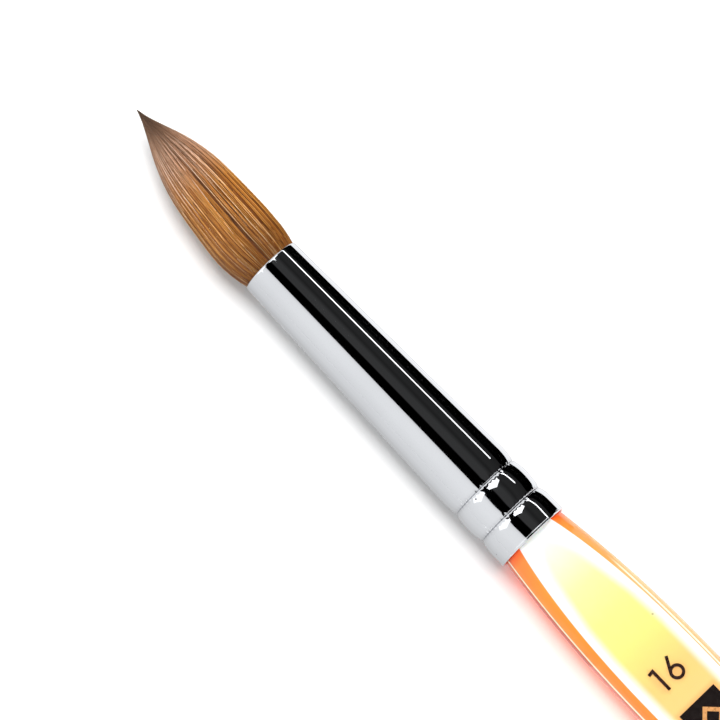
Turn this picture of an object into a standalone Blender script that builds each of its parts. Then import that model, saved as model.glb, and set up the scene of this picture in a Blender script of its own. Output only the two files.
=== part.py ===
"""Acrylic nail brush, size 16, lying on a table with its printed flat facing up.

A turned acrylic handle with one flat ground along its top, a seamless plated ferrule with two rolled
crimp grooves, and a round pointed tuft of hair, bound and glued inside the ferrule.

Frame: +X runs along the brush towards the tip of the hair, +Z is up, and the origin is on the table
under the middle of the brush. Lengths below are in millimetres, and MM turns them into metres.
"""

import math

import bmesh
import bpy
from mathutils import Matrix, Vector

MM = 0.001

# Lengths along the brush
HAIR_OUT = 24.35  # hair that stands out of the ferrule
FERRULE_LENGTH = 44.1
HANDLE_OUT = 114.55  # handle behind the ferrule
OVERALL = HAIR_OUT + FERRULE_LENGTH + HANDLE_OUT
TIP_X = OVERALL / 2
MOUTH_X = TIP_X - HAIR_OUT
RIM_X = MOUTH_X - FERRULE_LENGTH

# Handle
HANDLE_SIDES = 28
BELLY_RADIUS = 5.88
BELLY_START = 23.0  # the belly is straight from here to BELLY_END, measured behind the ferrule's rim
BELLY_END = 36.0
NECK_RADIUS = 4.33  # where the handle leaves the ferrule
BUTT_RADIUS = 2.6
SWELL_POWER = 2.15
TAPER_POWER = 1.35
FLAT_HEIGHT = 3.6  # the flat's height above the handle's axis
TENON_LENGTH = 11.0
TENON_CHAMFER = 0.6

# Ferrule
FERRULE_SIDES = 40
WALL = 0.22
MOUTH_RADIUS = 3.85
TUBE_END_RADIUS = 4.69
CREST_RADIUS = 4.78
GROOVE_RADIUS = 4.32
RIM_RADIUS = 4.82
SHOULDER = 34.1  # distances behind the mouth, from here to LAND_START
GROOVES = (36.05, 40.35)
LAND_START = 42.2
RIM_FLARE = 0.5

# Hair
TUFT_SIDES = 32
TUFT_OUTLINE = (  # distance ahead of the mouth, radius
    (0.0, 3.58),
    (1.7, 4.02),
    (2.9, 4.2),
    (5.3, 4.27),
    (8.8, 4.08),
    (11.2, 3.9),
    (13.6, 3.63),
    (15.9, 3.13),
    (18.3, 2.37),
    (20.7, 1.35),
    (23.05, 0.36),
    (HAIR_OUT, 0.0),
)
TIP_LEAN = 1.45  # how far the point curves towards -Y
LEAN_POWER = 1.1
LEAN_START = 4.0
FLEX_AHEAD = 2.0  # the tuft bends about a point this far ahead of the mouth
HEEL_RADIUS = 3.75

# Inside the ferrule, as distances behind the mouth
ROOT_SIDES = 24
ROOTS_FRONT = 2.15
ROOTS_BACK = 15.5
ROOTS_RADIUS = 3.3
WAIST_RADIUS = 2.9
WAIST = (12.2, 14.4)
THREAD_RADIUS = 0.15
THREAD_TURNS = 4
THREAD_PITCH = 0.4
PLUG_FRONT = 15.8
PLUG_BACK = 19.6
GAP = 0.3  # between pieces that touch
THREAD_GAP = 0.12

# Print on the flat, as distances behind the rim and across the flat
INK_GAP = 0.02
INK_THICKNESS = 0.08
STROKE = 0.37
DIGIT_TOP = 20.4
DIGIT_BOTTOM = 23.45
ONE_Y = 1.31
ONE_FLAG = (0.09, 0.68)  # how far the flag drops, and how far it reaches
SIX_Y = -0.73
SIX_LOOP_RADIUS = 0.745  # to the middle of the stroke
SIX_STEM_Y = -1.05
LABEL_FRONT = 26.4
LABEL_SIDE = 5.4
EMBLEM_HALF = 1.7
EMBLEM_BAND = 0.5


def clear_scene():
    for obj in list(bpy.data.objects):
        bpy.data.objects.remove(obj)


def make_material(name, colour, roughness, metallic=0.0):
    material = bpy.data.materials.new(name)
    material.use_nodes = True
    shader = material.node_tree.nodes["Principled BSDF"]
    shader.inputs["Base Color"].default_value = (*colour, 1.0)
    shader.inputs["Roughness"].default_value = roughness
    shader.inputs["Metallic"].default_value = metallic
    return material


def add_object(name, shape, material, origin=(0.0, 0.0, 0.0)):
    """Makes the bmesh an object whose own origin is at that place, in metres."""
    bmesh.ops.recalc_face_normals(shape, faces=shape.faces)
    bmesh.ops.translate(shape, verts=shape.verts, vec=-Vector(origin))
    mesh = bpy.data.meshes.new(name)
    shape.to_mesh(mesh)
    shape.free()
    mesh.shade_smooth()
    mesh.set_sharp_from_angle(angle=math.radians(30))
    mesh.materials.append(material)
    obj = bpy.data.objects.new(name, mesh)
    obj.location = origin
    bpy.context.scene.collection.objects.link(obj)
    return obj


def smooth_through(points, steps):
    """Points on a Catmull-Rom curve through the given ones, with that many steps in each span."""
    ends = [2 * Vector(points[0]) - Vector(points[1]), 2 * Vector(points[-1]) - Vector(points[-2])]
    knots = [ends[0], *map(Vector, points), ends[1]]
    curve = []
    for before, start, end, after in zip(knots, knots[1:], knots[2:], knots[3:]):
        for step in range(steps):
            t = step / steps
            curve.append(
                0.5
                * (
                    2 * start
                    + (end - before) * t
                    + (2 * before - 5 * start + 4 * end - after) * t**2
                    + (3 * start - before - 3 * end + after) * t**3
                )
            )
    return [tuple(point) for point in curve] + [tuple(points[-1])]


def ring(shape, x, radius, sides, centre_y=0.0):
    """Vertices round the brush's axis, placed so that one facet faces straight down."""
    vertices = []
    for side in range(sides):
        angle = 2 * math.pi * (side + 0.5) / sides
        y = centre_y + radius * math.sin(angle)
        z = AXIS_Z - radius * math.cos(angle)
        vertices.append(shape.verts.new((x * MM, y * MM, z * MM)))
    return vertices


def turned(outline, sides, hollow=False, centre_y=lambda x: 0.0):
    """A bmesh turned about the axis from (x, radius) points. A hollow one closes on itself as a tube."""
    shape = bmesh.new()
    rings = []
    for x, radius in outline:
        if radius > 0:
            rings.append(ring(shape, x, radius, sides, centre_y(x)))
        else:
            rings.append([shape.verts.new((x * MM, centre_y(x) * MM, AXIS_Z * MM))])
    pairs = list(zip(rings, rings[1:]))
    if hollow:
        pairs.append((rings[-1], rings[0]))
    for first, second in pairs:
        for side in range(sides):
            after = (side + 1) % sides
            if len(first) == 1:
                shape.faces.new((first[0], second[after], second[side]))
            elif len(second) == 1:
                shape.faces.new((first[side], first[after], second[0]))
            else:
                shape.faces.new((first[side], first[after], second[after], second[side]))
    return shape


AXIS_Z = BELLY_RADIUS * math.cos(math.pi / HANDLE_SIDES)  # the belly's lowest facet lies on the table
FLAT_Z = AXIS_Z + FLAT_HEIGHT


def ferrule_radius(behind):
    """Outer radius of the ferrule at a distance behind its mouth: a taper, two grooves, and a collar."""
    front, back = GROOVES
    if behind <= SHOULDER:
        return MOUTH_RADIUS + (TUBE_END_RADIUS - MOUTH_RADIUS) * behind / SHOULDER
    if behind <= front:
        across = (behind - SHOULDER) / (front - SHOULDER)
        return GROOVE_RADIUS + (TUBE_END_RADIUS - GROOVE_RADIUS) * math.sqrt(1 - across**2)
    if behind <= back:
        across = (2 * behind - front - back) / (back - front)
        return GROOVE_RADIUS + (CREST_RADIUS - GROOVE_RADIUS) * math.sqrt(1 - across**2)
    if behind <= LAND_START:
        across = (LAND_START - behind) / (LAND_START - back)
        return GROOVE_RADIUS + (CREST_RADIUS - GROOVE_RADIUS) * math.sqrt(1 - across**2)
    flare = max(0.0, behind - (FERRULE_LENGTH - RIM_FLARE)) / RIM_FLARE
    return CREST_RADIUS + (RIM_RADIUS - CREST_RADIUS) * flare**2


def rounded_spans():
    """Distances behind the mouth that draw the grooves, closer together where the wall turns fastest."""
    front, back = GROOVES
    middle = (front + back) / 2
    spans = []
    for centre, edge in ((SHOULDER, front), (middle, front), (middle, back), (LAND_START, back)):
        spans += [centre + (edge - centre) * math.sin(math.radians(angle)) for angle in range(0, 91, 18)]
    return sorted(set(round(span, 4) for span in spans))


def handle_radius(behind):
    """Radius of the turned handle at a distance behind the ferrule's rim."""
    if behind < BELLY_START:
        return BELLY_RADIUS - (BELLY_RADIUS - NECK_RADIUS) * (1 - behind / BELLY_START) ** SWELL_POWER
    if behind <= BELLY_END:
        return BELLY_RADIUS
    along = (behind - BELLY_END) / (HANDLE_OUT - BUTT_RADIUS - BELLY_END)
    return BELLY_RADIUS - (BELLY_RADIUS - BUTT_RADIUS) * along**TAPER_POWER


def handle_outline():
    outline = []
    tenon_front = FERRULE_LENGTH - TENON_LENGTH
    tenon_stops = [tenon_front + TENON_CHAMFER]
    tenon_stops += [stop for stop in rounded_spans() if stop > tenon_stops[0] + TENON_CHAMFER]
    front_radius = ferrule_radius(tenon_front) - WALL - GAP - TENON_CHAMFER
    outline += [(MOUTH_X - tenon_front, 0.0), (MOUTH_X - tenon_front, front_radius)]
    outline += [(MOUTH_X - stop, ferrule_radius(stop) - WALL - GAP) for stop in tenon_stops]
    belly_stops = [BELLY_START * step / 10 for step in range(11)] + [BELLY_END]
    taper_end = HANDLE_OUT - BUTT_RADIUS
    taper_stops = [BELLY_END + (taper_end - BELLY_END) * step / 12 for step in range(1, 13)]
    outline += [(RIM_X - stop, handle_radius(stop)) for stop in belly_stops + taper_stops]
    for angle in range(18, 90, 18):
        turn = math.radians(angle)
        x = RIM_X - taper_end - BUTT_RADIUS * math.sin(turn)
        outline.append((x, BUTT_RADIUS * math.cos(turn)))
    outline.append((RIM_X - HANDLE_OUT, 0.0))
    return outline


def make_handle(material):
    """A turned rod of acrylic with one flat ground along its top, from the ferrule's rim back."""
    handle = add_object("handle", turned(handle_outline(), HANDLE_SIDES), material)
    behind_butt, above_rod = RIM_X - HANDLE_OUT - 5.0, AXIS_Z + BELLY_RADIUS + 2.0
    low = Vector((behind_butt, -2 * BELLY_RADIUS, FLAT_Z)) * MM
    high = Vector((RIM_X, 2 * BELLY_RADIUS, above_rod)) * MM
    block = bmesh.new()
    bmesh.ops.create_cube(block, size=1.0)
    bmesh.ops.scale(block, verts=block.verts, vec=high - low)
    bmesh.ops.translate(block, verts=block.verts, vec=(low + high) / 2)
    cutter = add_object("flat_cutter", block, material)
    cutter.hide_render = True
    cutter.display_type = "WIRE"
    cut = handle.modifiers.new("flat", "BOOLEAN")
    cut.operation = "DIFFERENCE"
    cut.object = cutter
    return handle


def make_ferrule(material):
    stops = [FERRULE_LENGTH * step / 10 for step in range(8)] + rounded_spans()
    stops += [FERRULE_LENGTH - RIM_FLARE, FERRULE_LENGTH]
    outside = [(MOUTH_X - stop, ferrule_radius(stop)) for stop in stops]
    inside = [(x, radius - WALL) for x, radius in reversed(outside)]
    return add_object("ferrule", turned(outside + inside, FERRULE_SIDES, hollow=True), material)


def lean(x):
    """Sideways place of the tuft's centre: the hair curves a little towards -Y at the point."""
    along = max(0.0, x - MOUTH_X - LEAN_START) / (HAIR_OUT - LEAN_START)
    return -TIP_LEAN * along**LEAN_POWER


def make_tuft(material):
    """The hair outside the ferrule. Its heel is part of a ball about the bending point."""
    pivot_x = MOUTH_X + FLEX_AHEAD
    outline = [(pivot_x - HEEL_RADIUS, 0.0)]
    for angle in range(15, 91, 15):
        turn = math.radians(angle)
        outline.append((pivot_x - HEEL_RADIUS * math.cos(turn), HEEL_RADIUS * math.sin(turn)))
    hair = smooth_through(TUFT_OUTLINE, 3)
    outline += [(MOUTH_X + ahead, max(radius, 0.0)) for ahead, radius in hair if ahead > FLEX_AHEAD + 0.6]
    shape = turned(outline, TUFT_SIDES, centre_y=lean)
    return add_object("hair_tuft", shape, material, (pivot_x * MM, 0.0, AXIS_Z * MM))


def make_roots(material):
    """The glued end of the same hair, with the waist that its binding pulls in."""
    waist_front, waist_back = WAIST
    outline = [
        (ROOTS_FRONT, 0.0),
        (ROOTS_FRONT, ROOTS_RADIUS),
        (waist_front - 2.0, ROOTS_RADIUS),
        (waist_front, WAIST_RADIUS),
        (waist_back, WAIST_RADIUS),
        (ROOTS_BACK, ROOTS_RADIUS),
        (ROOTS_BACK, 0.0),
    ]
    shape = turned([(MOUTH_X - behind, radius) for behind, radius in outline], ROOT_SIDES)
    return add_object("hair_roots", shape, material)


def make_thread(material):
    """Binding thread wound round the waist of the roots."""
    sides, steps = 6, 20
    radius = WAIST_RADIUS + THREAD_GAP + THREAD_RADIUS
    start_x = MOUTH_X - (WAIST[0] + WAIST[1] - THREAD_TURNS * THREAD_PITCH) / 2
    shape = bmesh.new()
    rings = []
    for step in range(THREAD_TURNS * steps + 1):
        angle = 2 * math.pi * step / steps
        outward = Vector((0.0, math.sin(angle), -math.cos(angle)))
        centre = Vector((start_x - THREAD_PITCH * step / steps, 0.0, AXIS_Z)) + radius * outward
        section = []
        for side in range(sides):
            turn = 2 * math.pi * side / sides
            offset = outward * math.cos(turn) + Vector((1.0, 0.0, 0.0)) * math.sin(turn)
            section.append(shape.verts.new((centre + THREAD_RADIUS * offset) * MM))
        rings.append(section)
    for first, second in zip(rings, rings[1:]):
        for side in range(sides):
            after = (side + 1) % sides
            shape.faces.new((first[side], first[after], second[after], second[side]))
    shape.faces.new(rings[0])
    shape.faces.new(rings[-1])
    return add_object("binding_thread", shape, material)


def make_plug(material):
    """Epoxy set behind the roots, which it locks into the tube."""
    outline = [(PLUG_FRONT, 0.0)]
    outline += [(stop, ferrule_radius(stop) - WALL - GAP) for stop in (PLUG_FRONT, PLUG_BACK)]
    outline.append((PLUG_BACK, 0.0))
    shape = turned([(MOUTH_X - behind, radius) for behind, radius in outline], ROOT_SIDES)
    return add_object("epoxy_plug", shape, material)


def raised(outlines, base_z, thickness):
    """A flat-topped bmesh over (x, y) outlines: the first is the outer edge, a second one is a hole."""
    shape = bmesh.new()
    loops = []
    for level in (base_z, base_z + thickness):
        loops.append([[shape.verts.new((x * MM, y * MM, level * MM)) for x, y in line] for line in outlines])
    lower, upper = loops
    for low, high in zip(lower, upper):
        count = len(low)
        for corner in range(count):
            after = (corner + 1) % count
            shape.faces.new((low[corner], low[after], high[after], high[corner]))
    for level in (lower, upper):
        if len(level) == 1:
            shape.faces.new(level[0])
            continue
        outer, inner = level
        count = len(outer)
        for corner in range(count):
            after = (corner + 1) % count
            shape.faces.new((outer[corner], outer[after], inner[after], inner[corner]))
    return shape


def stroke_outline(points, width):
    """The outline of a pen stroke of that width along a short open line, with mitred corners."""
    line = [Vector(point) for point in points]
    left, right = [], []
    for index, point in enumerate(line):
        sides = []
        if index > 0:
            sides.append((point - line[index - 1]).normalized())
        if index < len(line) - 1:
            sides.append((line[index + 1] - point).normalized())
        along = sum(sides, Vector((0.0, 0.0))).normalized()
        across = Vector((-along.y, along.x))
        stretch = 1 / max(0.4, along.dot(sides[0]))
        left.append(point + across * width / 2 * stretch)
        right.append(point - across * width / 2 * stretch)
    return [tuple(point) for point in left + right[::-1]]


def make_digit_one(material):
    top_x, bottom_x = RIM_X - DIGIT_TOP - STROKE / 2, RIM_X - DIGIT_BOTTOM
    drop, reach = ONE_FLAG
    line = [(bottom_x, ONE_Y), (top_x, ONE_Y), (top_x - drop, ONE_Y + reach)]
    outline = stroke_outline(line, STROKE)
    return add_object("size_digit_1", raised([outline], FLAT_Z + INK_GAP, INK_THICKNESS), material)


def make_digit_six(material):
    """A round loop with a straight stem that leaves it at a tangent."""
    loop_x = RIM_X - DIGIT_BOTTOM + STROKE / 2 + SIX_LOOP_RADIUS
    steps = 32
    circles = []
    for radius in (SIX_LOOP_RADIUS + STROKE / 2, SIX_LOOP_RADIUS - STROKE / 2):
        turns = [2 * math.pi * step / steps for step in range(steps)]
        circles.append([(loop_x + radius * math.cos(a), SIX_Y + radius * math.sin(a)) for a in turns])
    loop = add_object("size_digit_6", raised(circles, FLAT_Z + INK_GAP, INK_THICKNESS), material)
    top = Vector((RIM_X - DIGIT_TOP, SIX_STEM_Y))
    centre = Vector((loop_x, SIX_Y))
    away = top - centre
    swing = math.acos(SIX_LOOP_RADIUS / away.length)
    touch = centre + Matrix.Rotation(swing, 2) @ away.normalized() * SIX_LOOP_RADIUS
    outline = stroke_outline([top, touch], STROKE)
    stem = add_object("stem_tool", raised([outline], FLAT_Z + INK_GAP, INK_THICKNESS), material)
    stem.hide_render = True
    stem.display_type = "WIRE"
    union = loop.modifiers.new("stem", "BOOLEAN")
    union.operation = "UNION"
    union.object = stem
    return loop


def square(centre_x, half, turned_by=0.0):
    corners = []
    for corner in range(4):
        angle = math.radians(45 + 90 * corner + turned_by)
        reach = half * math.sqrt(2)
        corners.append((centre_x + reach * math.cos(angle), reach * math.sin(angle)))
    return corners


def make_label(panel_material, foil_material):
    """A printed black panel with a plain lozenge of foil on it."""
    centre_x = RIM_X - LABEL_FRONT - LABEL_SIDE / 2
    panel_z = FLAT_Z + INK_GAP
    panel = raised([square(centre_x, LABEL_SIDE / 2)], panel_z, INK_THICKNESS)
    add_object("label_panel", panel, panel_material)
    foil_z = panel_z + INK_THICKNESS + INK_GAP
    half = EMBLEM_HALF / math.sqrt(2)
    outlines = [square(centre_x, half, 45), square(centre_x, half - EMBLEM_BAND, 45)]
    add_object("label_emblem", raised(outlines, foil_z, INK_THICKNESS), foil_material)


def main():
    clear_scene()
    hair = make_material("hair", (0.36, 0.15, 0.04), 0.45)
    ink = make_material("ink", (0.02, 0.008, 0.006), 0.4)
    make_handle(make_material("acrylic", (1.0, 0.42, 0.1), 0.05))
    make_ferrule(make_material("plated_brass", (0.8, 0.81, 0.83), 0.06, 1.0))
    make_tuft(hair)
    make_roots(hair)
    make_thread(make_material("thread", (0.85, 0.82, 0.72), 0.8))
    make_plug(make_material("epoxy", (0.75, 0.6, 0.3), 0.3))
    make_digit_one(ink)
    make_digit_six(ink)
    make_label(ink, make_material("foil", (0.72, 0.38, 0.16), 0.3, 1.0))


main()
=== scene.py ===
"""Looks of the size 16 acrylic nail brush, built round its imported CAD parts, with its studio and camera.

The brush lies along +X with its tip towards +X, and +Z is up. Lengths are in millimetres unless a name
ends in _M, and MM turns them into metres. "behind" is a distance from the ferrule's mouth towards the
butt, "ahead" one from the mouth towards the tip, and "along" one from the ferrule's rear rim towards
the butt.
"""

import math

import bpy
import numpy as np
from mathutils import Matrix, Vector


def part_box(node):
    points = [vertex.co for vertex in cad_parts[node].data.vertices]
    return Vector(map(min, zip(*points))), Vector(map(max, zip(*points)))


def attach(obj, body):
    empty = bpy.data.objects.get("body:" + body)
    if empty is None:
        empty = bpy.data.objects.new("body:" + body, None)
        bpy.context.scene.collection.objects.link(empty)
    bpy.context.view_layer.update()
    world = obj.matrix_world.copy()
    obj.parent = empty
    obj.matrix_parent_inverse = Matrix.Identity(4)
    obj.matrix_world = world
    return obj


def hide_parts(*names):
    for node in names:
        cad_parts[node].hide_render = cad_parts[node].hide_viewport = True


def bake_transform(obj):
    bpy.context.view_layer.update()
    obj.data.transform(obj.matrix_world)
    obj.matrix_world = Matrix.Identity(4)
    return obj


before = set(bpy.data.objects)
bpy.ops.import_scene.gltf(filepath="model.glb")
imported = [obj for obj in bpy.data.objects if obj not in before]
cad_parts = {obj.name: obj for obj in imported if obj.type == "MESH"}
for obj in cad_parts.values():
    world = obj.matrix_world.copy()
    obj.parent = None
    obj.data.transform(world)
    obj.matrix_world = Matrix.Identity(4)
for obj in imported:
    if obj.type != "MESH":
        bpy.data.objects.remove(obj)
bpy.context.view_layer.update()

MM = 0.001

# Places read from the CAD parts
MOUTH_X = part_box("ferrule")[1].x / MM
RIM_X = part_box("ferrule")[0].x / MM
TIP_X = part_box("hair_tuft")[1].x / MM
BUTT_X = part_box("handle")[0].x / MM
AXIS_Z = (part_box("ferrule")[0].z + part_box("ferrule")[1].z) / 2 / MM
LABEL_FRONT = RIM_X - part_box("label_panel")[1].x / MM
LABEL_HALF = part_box("label_panel")[1].y / MM
SIX_LOW, SIX_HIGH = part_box("size_digit_6")
ONE_LOW, ONE_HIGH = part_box("size_digit_1")

# Ferrule, as distances behind its mouth and radii
FERRULE_LENGTH = MOUTH_X - RIM_X
WALL = 0.22
MOUTH_RADIUS = 3.85
TUBE_END_RADIUS = 4.69
CREST_RADIUS = 4.78
GROOVE_RADIUS = 4.32
RIM_RADIUS = 4.82
SHOULDER = 34.1
GROOVES = (36.05, 40.35)
LAND_START = 42.2
RIM_FLARE = 0.5
KNURL_TEETH = 46
KNURL_DEPTH = 0.05
KNURL_WIDTH = 0.3
KNURL_TURN = 1.3  # how far the second groove's teeth are turned from the first's
LIP_REACH = 0.26  # how far the rounded rims run along the tube
FERRULE_SEGMENTS = KNURL_TEETH * 6

# Handle
BELLY_RADIUS = 5.88
BELLY_START = 23.0
BELLY_END = 36.0
NECK_RADIUS = 4.33
BUTT_RADIUS = 2.6
BUTT_START = RIM_X - BUTT_X - BUTT_RADIUS  # where the taper ends and the round butt begins
FLAT_HEIGHT = 3.6  # of the flat above the axis
SWELL_POWER = 2.15
TAPER_POWER = 1.35
TENON_LENGTH = 11.0
EDGE_SHARPNESS = 80.0  # power of the smooth minimum that rounds the flat's edges

# Hair
TUFT_OUTLINE = (  # distance ahead of the mouth, radius
    (-2.4, 3.5),
    (-0.1, 3.57),
    (0.3, 3.74),
    (0.8, 3.88),
    (1.7, 4.03),
    (2.9, 4.2),
    (5.3, 4.27),
    (8.8, 4.08),
    (11.2, 3.9),
    (13.6, 3.63),
    (15.9, 3.13),
    (18.3, 2.37),
    (20.7, 1.35),
    (23.05, 0.38),
    (24.35, 0.04),
)
TIP_LEAN = 1.45
LEAN_START = 4.0
LEAN_POWER = 1.1
SEED = 16


def srgb(red, green, blue):
    """A linear colour with alpha from display values of 0 to 255."""
    linear = []
    for value in (red, green, blue):
        share = value / 255
        linear.append(share / 12.92 if share <= 0.04045 else ((share + 0.055) / 1.055) ** 2.4)
    return (*linear, 1.0)


def smoothstep(value, low, high):
    share = np.clip((value - low) / (high - low), 0.0, 1.0)
    return share * share * (3 - 2 * share)


MIX_FIRST, MIX_SECOND, MIX_RESULT = 6, 7, 2  # where the Mix node keeps its colour sockets


class Finish:
    """A Principled material, with short ways to wire nodes into it."""

    def __init__(self, name, **settings):
        self.material = bpy.data.materials.new(name)
        self.material.use_nodes = True
        self.tree = self.material.node_tree
        self.surface = self.tree.nodes["Principled BSDF"]
        for socket, value in settings.items():
            self.put(value, self.surface.inputs[socket.replace("_", " ")])

    def put(self, value, socket):
        if isinstance(value, bpy.types.NodeSocket):
            self.tree.links.new(value, socket)
        else:
            socket.default_value = value

    def add(self, kind, inputs=(), **settings):
        node = self.tree.nodes.new("ShaderNode" + kind)
        for name, value in settings.items():
            setattr(node, name, value)
        for socket, value in dict(inputs).items():
            self.put(value, node.inputs[socket])
        return node

    def attribute(self, name):
        return self.add("Attribute", attribute_name=name).outputs["Fac"]

    def place(self):
        """Where the surface point is on the object, in metres."""
        return self.add("TexCoord").outputs["Object"]

    def stretched(self, vector, scale):
        return self.add("VectorMath", {0: vector, 1: scale}, operation="MULTIPLY").outputs[0]

    def math(self, operation, first, second=0.0, clamp=False):
        node = self.add("Math", {0: first, 1: second}, operation=operation, use_clamp=clamp)
        return node.outputs[0]

    def between(self, value, low, high, low_gives=0.0, high_gives=1.0):
        """Goes smoothly from one number to another as the value goes from low to high."""
        inputs = {"Value": value, "From Min": low, "From Max": high}
        inputs.update({"To Min": low_gives, "To Max": high_gives})
        return self.add("MapRange", inputs, interpolation_type="SMOOTHSTEP").outputs["Result"]

    def noise(self, vector, scale, detail=2.0, roughness=0.5):
        inputs = {"Vector": vector, "Scale": scale, "Detail": detail, "Roughness": roughness}
        return self.add("TexNoise", inputs).outputs["Fac"]

    def mix(self, share, first, second, blend="MIX"):
        node = self.add("Mix", data_type="RGBA", blend_type=blend)
        self.put(share, node.inputs["Factor"])
        self.put(first, node.inputs[MIX_FIRST])
        self.put(second, node.inputs[MIX_SECOND])
        return node.outputs[MIX_RESULT]

    def ramp(self, value, stops):
        """A colour for each value, from (value, colour) stops between 0 and 1."""
        node = self.add("ValToRGB", {"Fac": value})
        points = node.color_ramp.elements
        while len(points) < len(stops):
            points.new(0.5)
        for point, (position, _) in zip(points, stops):
            point.position = position
        for point, (_, colour) in zip(points, stops):
            point.color = colour
        return node.outputs["Color"]

    def bump(self, height, strength, distance_m):
        inputs = {"Height": height, "Strength": strength, "Distance": distance_m}
        return self.add("Bump", inputs).outputs["Normal"]

    def off_by(self, value, target):
        """How far a value is from a target, whichever side it is on."""
        return self.math("ABSOLUTE", self.math("SUBTRACT", value, target))

    def set(self, **settings):
        for socket, value in settings.items():
            self.put(value, self.surface.inputs[socket.replace("_", " ")])
        return self


def add_piece(name, points_mm, faces, finish, floats=None):
    """A smooth mesh object from points in millimetres, with float attributes on its points."""
    mesh = bpy.data.meshes.new(name)
    points = np.asarray(points_mm, float) * MM
    mesh.from_pydata(points.tolist(), [], faces)
    mesh.validate()
    for attribute_name, values in (floats or {}).items():
        attribute = mesh.attributes.new(attribute_name, "FLOAT", "POINT")
        attribute.data.foreach_set("value", np.asarray(values, np.float32).ravel())
    mesh.shade_smooth()
    mesh.materials.append(finish.material)
    obj = bpy.data.objects.new(name, mesh)
    bpy.context.scene.collection.objects.link(obj)
    return obj


def grid_faces(rings, columns):
    """Quads between rings of points that close on themselves round each ring."""
    faces = []
    for ring in range(rings - 1):
        for column in range(columns):
            after = (column + 1) % columns
            low, high = ring * columns, (ring + 1) * columns
            faces.append((low + column, low + after, high + after, high + column))
    return faces


# ---------------------------------------------------------------- ferrule


def bulge(crest, across):
    """Radius of a rolled bulge that falls to the grooves where across reaches 1 or -1."""
    return GROOVE_RADIUS + (crest - GROOVE_RADIUS) * math.sqrt(max(0.0, 1 - across**2))


def ferrule_radius(behind):
    """Outer radius at a distance behind the mouth: a taper, two rolled grooves, and a collar."""
    front, back = GROOVES
    if behind <= SHOULDER:
        return MOUTH_RADIUS + (TUBE_END_RADIUS - MOUTH_RADIUS) * behind / SHOULDER
    if behind <= front:
        return bulge(TUBE_END_RADIUS, (behind - SHOULDER) / (front - SHOULDER))
    if behind <= back:
        return bulge(CREST_RADIUS, (2 * behind - front - back) / (back - front))
    if behind <= LAND_START:
        return bulge(CREST_RADIUS, (LAND_START - behind) / (LAND_START - back))
    flare = max(0.0, behind - (FERRULE_LENGTH - RIM_FLARE)) / RIM_FLARE
    return CREST_RADIUS + (RIM_RADIUS - CREST_RADIUS) * flare**2


def ferrule_stops():
    """Distances behind the mouth, closer together where the wall turns fastest."""
    front, back = GROOVES
    middle = (front + back) / 2
    stops = list(np.arange(1.0, SHOULDER, 1.1))
    for centre, edge in ((SHOULDER, front), (middle, front), (middle, back), (LAND_START, back)):
        for angle in range(0, 91, 6):
            stops.append(centre + (edge - centre) * math.sin(math.radians(angle)))
    stops += list(np.linspace(LAND_START, FERRULE_LENGTH - RIM_FLARE, 5))
    stops += list(np.linspace(FERRULE_LENGTH - RIM_FLARE, FERRULE_LENGTH - LIP_REACH - 0.02, 5))
    return sorted(set(round(stop, 4) for stop in stops))


def lip(behind, radius, outward):
    """The rounded edge of the wall, from its outside to its inside. outward is -1 at the mouth."""
    half = WALL / 2
    points = []
    for angle in range(0, 181, 20):
        turn = math.radians(angle)
        place = behind + outward * LIP_REACH * math.sin(turn)
        points.append((place, radius - half + half * math.cos(turn)))
    return points if outward > 0 else points[::-1]


def ferrule_profile():
    stops = ferrule_stops()
    outside = [(stop, ferrule_radius(stop)) for stop in stops]
    inside = [(stop, radius - WALL) for stop, radius in reversed(outside)]
    mouth = lip(LIP_REACH, MOUTH_RADIUS, -1)
    rim = lip(FERRULE_LENGTH - LIP_REACH, RIM_RADIUS, 1)
    return mouth + outside + rim + inside + [mouth[0]]


def make_ferrule(finish):
    """The plated tube, drawn thin, with knurled crimp grooves."""
    points = []
    groove_amount = []
    angles = 2 * math.pi * np.arange(FERRULE_SEGMENTS) / FERRULE_SEGMENTS
    profile = ferrule_profile()[:-1]
    between_grooves = 37.6
    for behind, radius in profile:
        near = sum(math.exp(-(((behind - groove) / KNURL_WIDTH) ** 2)) for groove in GROOVES)
        unevenness = 0.012 * np.sin(2 * angles + behind) + 0.008 * np.sin(5 * angles - 2 * behind)
        crimped = float(smoothstep(behind, SHOULDER - 0.5, SHOULDER + 0.8))
        teeth_turn = KNURL_TURN if behind > between_grooves else 0.0
        knurl = KNURL_DEPTH * near * (0.5 + 0.5 * np.cos(KNURL_TEETH * angles + teeth_turn))
        around = radius + unevenness * crimped * 0.5 + knurl
        for angle, reach in zip(angles, around):
            points.append((MOUTH_X - behind, -reach * math.sin(angle), AXIS_Z + reach * math.cos(angle)))
        groove_amount += [near] * FERRULE_SEGMENTS
    rings = len(profile)
    faces = grid_faces(rings, FERRULE_SEGMENTS)
    last = (rings - 1) * FERRULE_SEGMENTS
    for column in range(FERRULE_SEGMENTS):
        after = (column + 1) % FERRULE_SEGMENTS
        faces.append((last + column, last + after, after, column))
    obj = add_piece("ferrule_tube", points, faces, finish, {"groove": groove_amount})
    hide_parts("ferrule")
    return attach(obj, "brush")


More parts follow.
